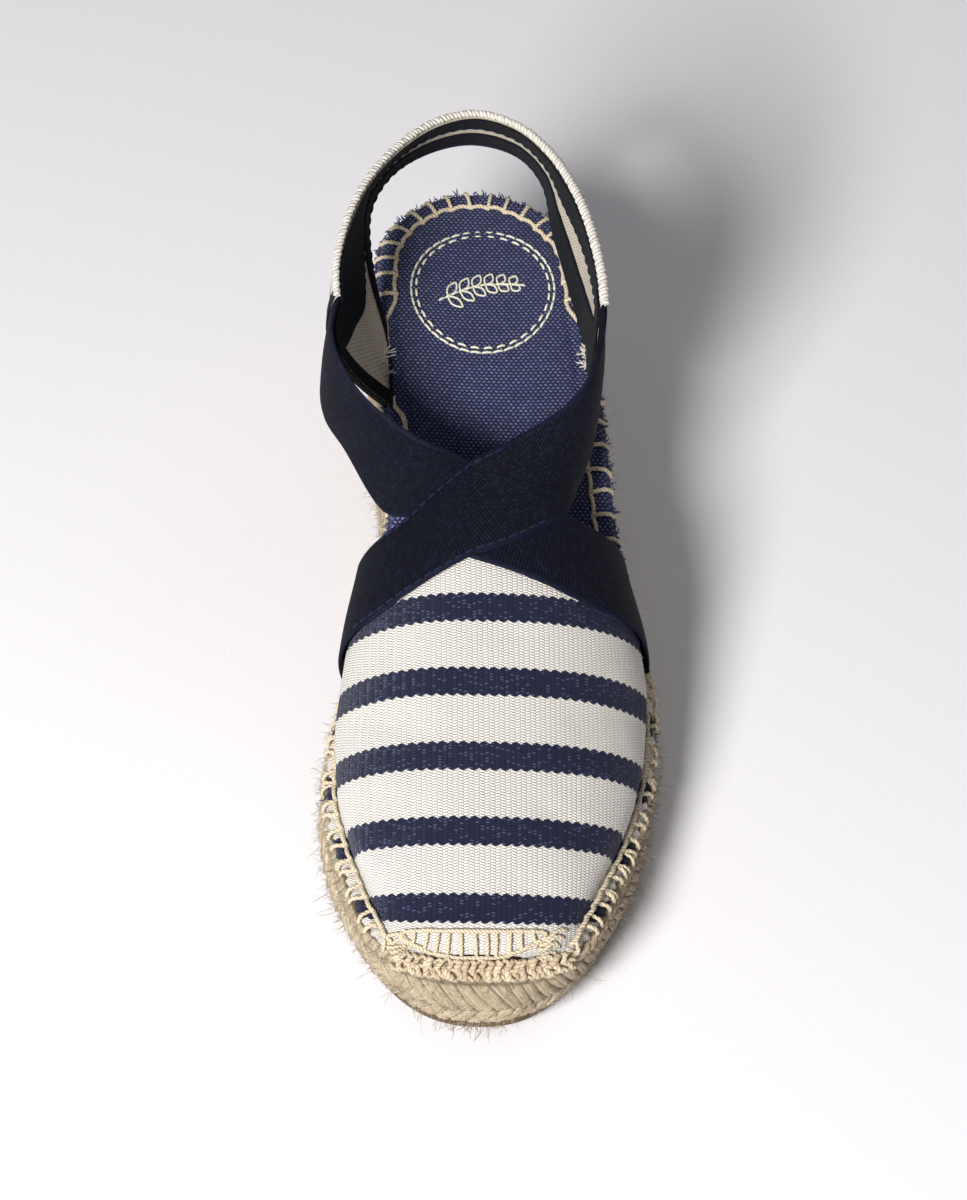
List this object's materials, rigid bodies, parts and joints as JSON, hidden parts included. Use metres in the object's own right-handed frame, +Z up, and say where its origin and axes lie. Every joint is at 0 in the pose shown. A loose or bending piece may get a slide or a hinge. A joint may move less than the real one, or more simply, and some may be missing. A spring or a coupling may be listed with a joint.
{
  "type": "wedge espadrille",
  "caption": "Left wedge espadrille: braided jute sole, striped canvas closed toe, crossed elastic ribbons over the instep and an open canvas heel band.",
  "frame": {"origin": "bottom centre of the bounding box, on the ground under the middle of the sole", "axes": "+Z up, -Y toward the toe, +Y toward the heel, +X toward the outer (lateral) side of this left shoe"},
  "size_m": [0.0956, 0.2469, 0.1135],
  "materials": {
    "rubber_outsole": "matte brown crepe rubber",
    "jute": "natural jute braid, matte and hairy",
    "insole_canvas": "indigo cotton canvas, plain weave",
    "striped_canvas": "ribbed cotton canvas, off-white with navy stripes",
    "elastic_ribbon": "ribbed elastic webbing, dark navy",
    "heel_canvas": "off-white canvas, cream lining, navy tape edges"
  },
  "bodies": {
    "root": {"outsole": "rubber_outsole", "jute_sole": "jute", "insole": "insole_canvas", "vamp": "striped_canvas", "cross_straps": "elastic_ribbon", "heel_band": "heel_canvas"}
  },
  "joints": []
}
